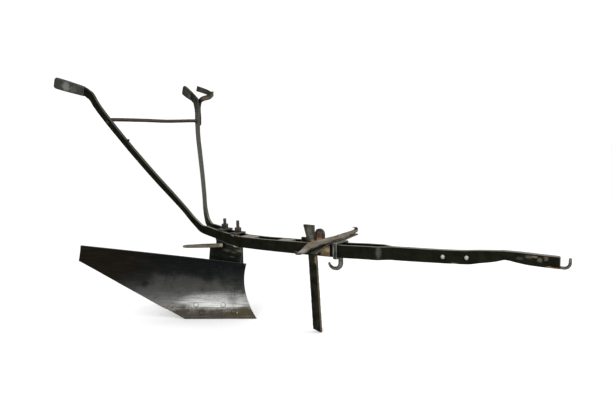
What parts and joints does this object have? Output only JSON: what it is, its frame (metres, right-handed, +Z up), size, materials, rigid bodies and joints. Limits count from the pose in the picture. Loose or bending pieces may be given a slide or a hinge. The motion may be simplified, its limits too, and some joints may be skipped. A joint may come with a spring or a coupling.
{
  "type": "horse-drawn walking plough",
  "caption": "Walking plough with two-bar iron beam, knife coulter, hollow mouldboard with share, landside, hooks and a pair of raised handles joined by a crossbar.",
  "frame": {"origin": "on the ground, under the middle of the plough's bounding box", "axes": "+X the direction of travel, +Y the land side (left), +Z up"},
  "size_m": [2.1366, 0.8322, 1.0643],
  "materials": {
    "black_iron": "dark forged iron, nearly black, semi-matt",
    "bright_steel": "bright worn rivet heads",
    "worn_iron": "worn forged iron, grey, semi-matt",
    "brown_iron": "forged iron browned by weather, matt",
    "plate_steel": "dark worn steel plate, part polished by the soil",
    "cast_iron": "rough dark casting, matt",
    "rusty_iron": "tan and brown rust over iron, matt",
    "weathered_iron": "dusty grey-brown forged iron, matt"
  },
  "bodies": {
    "root": {"right_beam_bar": "black_iron", "left_beam_bar": "black_iron", "rear_nose_rivet": "bright_steel", "front_nose_rivet": "bright_steel", "nose_hook": "worn_iron", "right_handle": "black_iron", "right_grip": "worn_iron", "left_handle": "black_iron", "left_grip": "worn_iron", "handle_stub_pin": "worn_iron", "handle_crossbar": "brown_iron", "rein_hook": "brown_iron", "share": "plate_steel", "mouldboard": "plate_steel", "upper_board_bolt": "worn_iron", "lower_board_bolt": "worn_iron", "inner_share_bolt": "worn_iron", "outer_share_bolt": "worn_iron", "inner_strap_bolt": "worn_iron", "outer_strap_bolt": "worn_iron", "joint_strap": "worn_iron", "landside": "worn_iron", "front_landside_bolt": "worn_iron", "rear_landside_bolt": "worn_iron", "frog": "cast_iron", "frog_side_arm": "brown_iron", "rear_frog_stud": "worn_iron", "rear_saddle_plate": "worn_iron", "rear_frog_nut": "worn_iron", "front_frog_stud": "worn_iron", "front_saddle_plate": "worn_iron", "front_frog_nut": "worn_iron", "mouldboard_stay": "brown_iron", "coulter": "worn_iron", "right_slot_packer": "rusty_iron", "left_slot_packer": "rusty_iron", "rear_distance_piece": "brown_iron", "middle_distance_piece": "brown_iron", "coulter_wedge": "black_iron", "coulter_clamp": "black_iron", "coulter_clamp_key": "rusty_iron", "beam_side_plate": "rusty_iron", "cross_bar": "weathered_iron", "cross_bar_strap": "weathered_iron", "hook_stirrup": "black_iron", "drag_hook": "worn_iron"}
  },
  "joints": []
}
